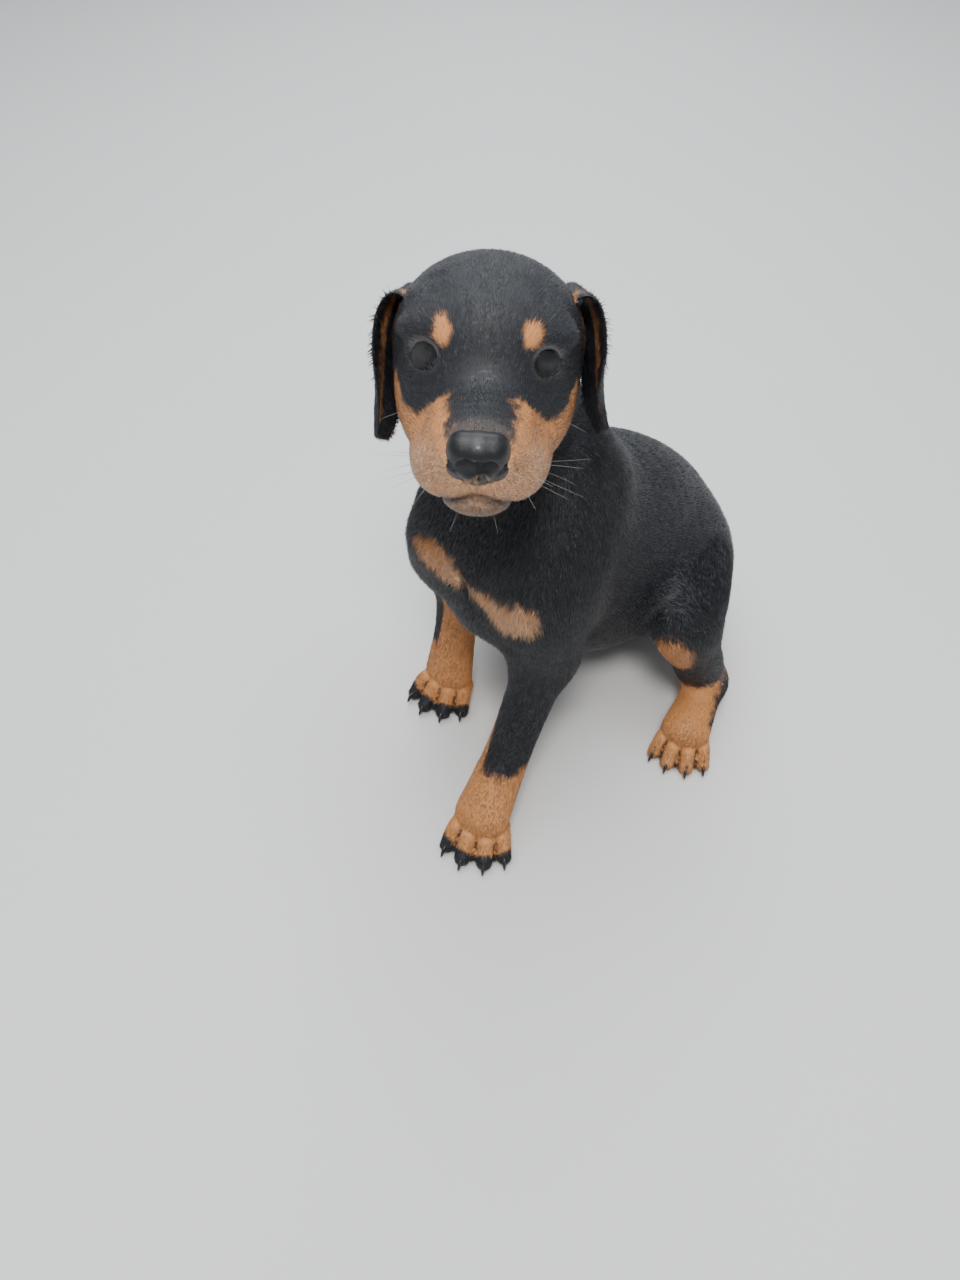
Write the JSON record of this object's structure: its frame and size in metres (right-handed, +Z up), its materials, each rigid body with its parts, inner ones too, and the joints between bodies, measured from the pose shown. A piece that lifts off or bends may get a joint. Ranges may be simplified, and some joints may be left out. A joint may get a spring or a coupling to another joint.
{
  "type": "doberman pinscher puppy",
  "caption": "Life-size still model of a doberman pinscher puppy sitting with one foreleg forward, black with tan markings, hanging ears and a raised, turned head.",
  "frame": {"origin": "middle of the bounding box's base, on the floor that the paws and the rump rest on", "axes": "+Y runs from the chest to the rump, +X towards the animal's left, +Z up; the body faces -Y"},
  "size_m": [0.2146, 0.3226, 0.3037],
  "materials": {
    "coat": "short smooth black fur with a soft sheen",
    "tan_coat": "short smooth rust-tan fur",
    "nose_leather": "moist fine-grained black nose leather",
    "eye_surface": "wet, clear dark eye",
    "claw_horn": "smooth dark horn"
  },
  "bodies": {
    "root": {"head": "coat", "neck": "coat", "torso": "coat", "tail": "coat", "foreleg_left": "coat", "foreleg_right": "coat", "hindleg_left": "coat", "hindleg_right": "coat", "ear_left": "coat", "ear_right": "coat", "forepaw_left": "tan_coat", "forepaw_right": "tan_coat", "hindpaw_left": "tan_coat", "hindpaw_right": "tan_coat", "nose": "nose_leather", "eye_left": "eye_surface", "eye_right": "eye_surface", "claw_forepaw_left_1": "claw_horn", "claw_forepaw_left_2": "claw_horn", "claw_forepaw_left_3": "claw_horn", "claw_forepaw_left_4": "claw_horn", "claw_forepaw_right_1": "claw_horn", "claw_forepaw_right_2": "claw_horn", "claw_forepaw_right_3": "claw_horn", "claw_forepaw_right_4": "claw_horn", "claw_hindpaw_left_1": "claw_horn", "claw_hindpaw_left_2": "claw_horn", "claw_hindpaw_left_3": "claw_horn", "claw_hindpaw_left_4": "claw_horn", "claw_hindpaw_right_1": "claw_horn", "claw_hindpaw_right_2": "claw_horn", "claw_hindpaw_right_3": "claw_horn", "claw_hindpaw_right_4": "claw_horn"}
  },
  "joints": []
}
